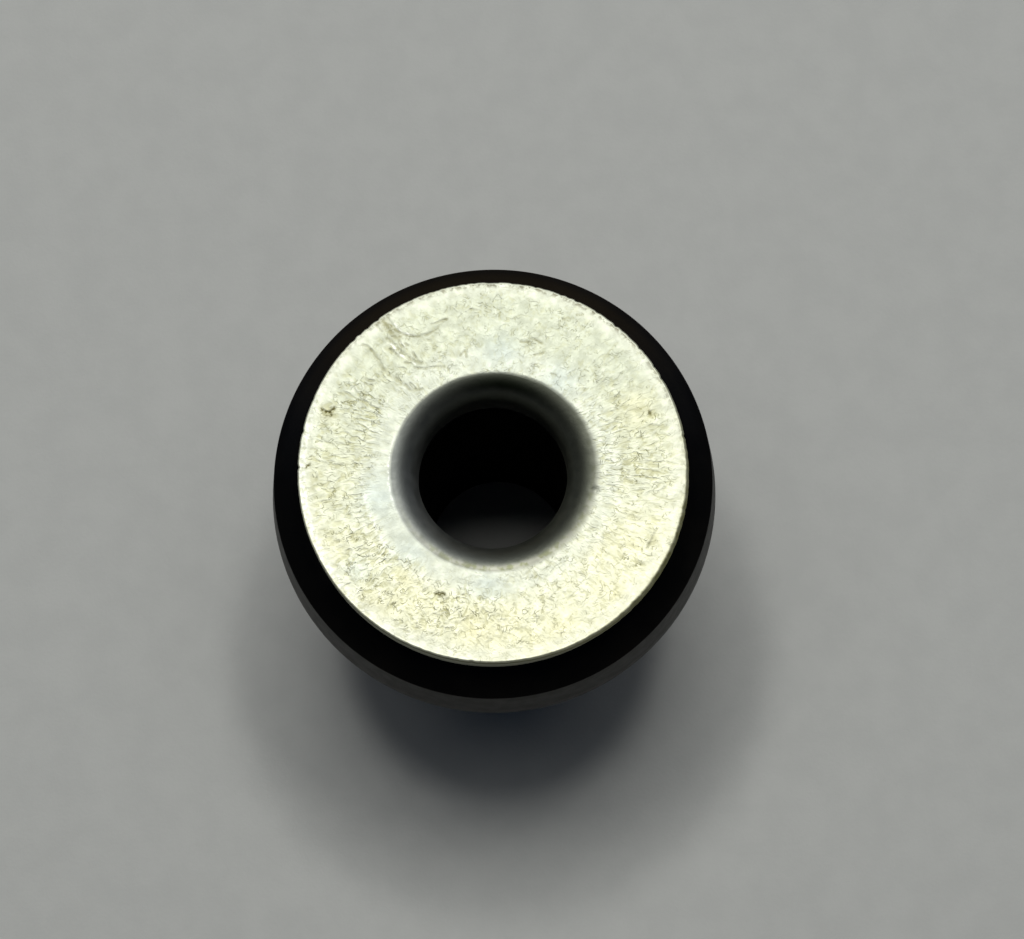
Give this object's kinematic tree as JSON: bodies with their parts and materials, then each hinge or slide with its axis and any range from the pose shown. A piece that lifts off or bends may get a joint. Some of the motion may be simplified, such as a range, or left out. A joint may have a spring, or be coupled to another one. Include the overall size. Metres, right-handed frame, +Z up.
{
  "type": "cam cover isolator",
  "caption": "Round rubber isolator bush with a bonded zinc-plated steel washer on its head and a locating neck below, held by a bolt through its middle.",
  "frame": {"origin": "centre of the neck's end face, on the bolt axis; the part stands on that face", "axes": "+Z up along the bolt bore, from the end of the neck towards the washer; X and Y are free, because the part is round"},
  "size_m": [0.0212, 0.0212, 0.019],
  "materials": {
    "zinc_plated_steel": "zinc-plated pressed steel with a faint yellow-green tint, finely crinkled satin face, rounded mouth",
    "black_rubber": "black moulded rubber, smooth with a slight gloss"
  },
  "bodies": {
    "root": {"flange_washer": "zinc_plated_steel", "rubber_body": "black_rubber"}
  },
  "joints": []
}
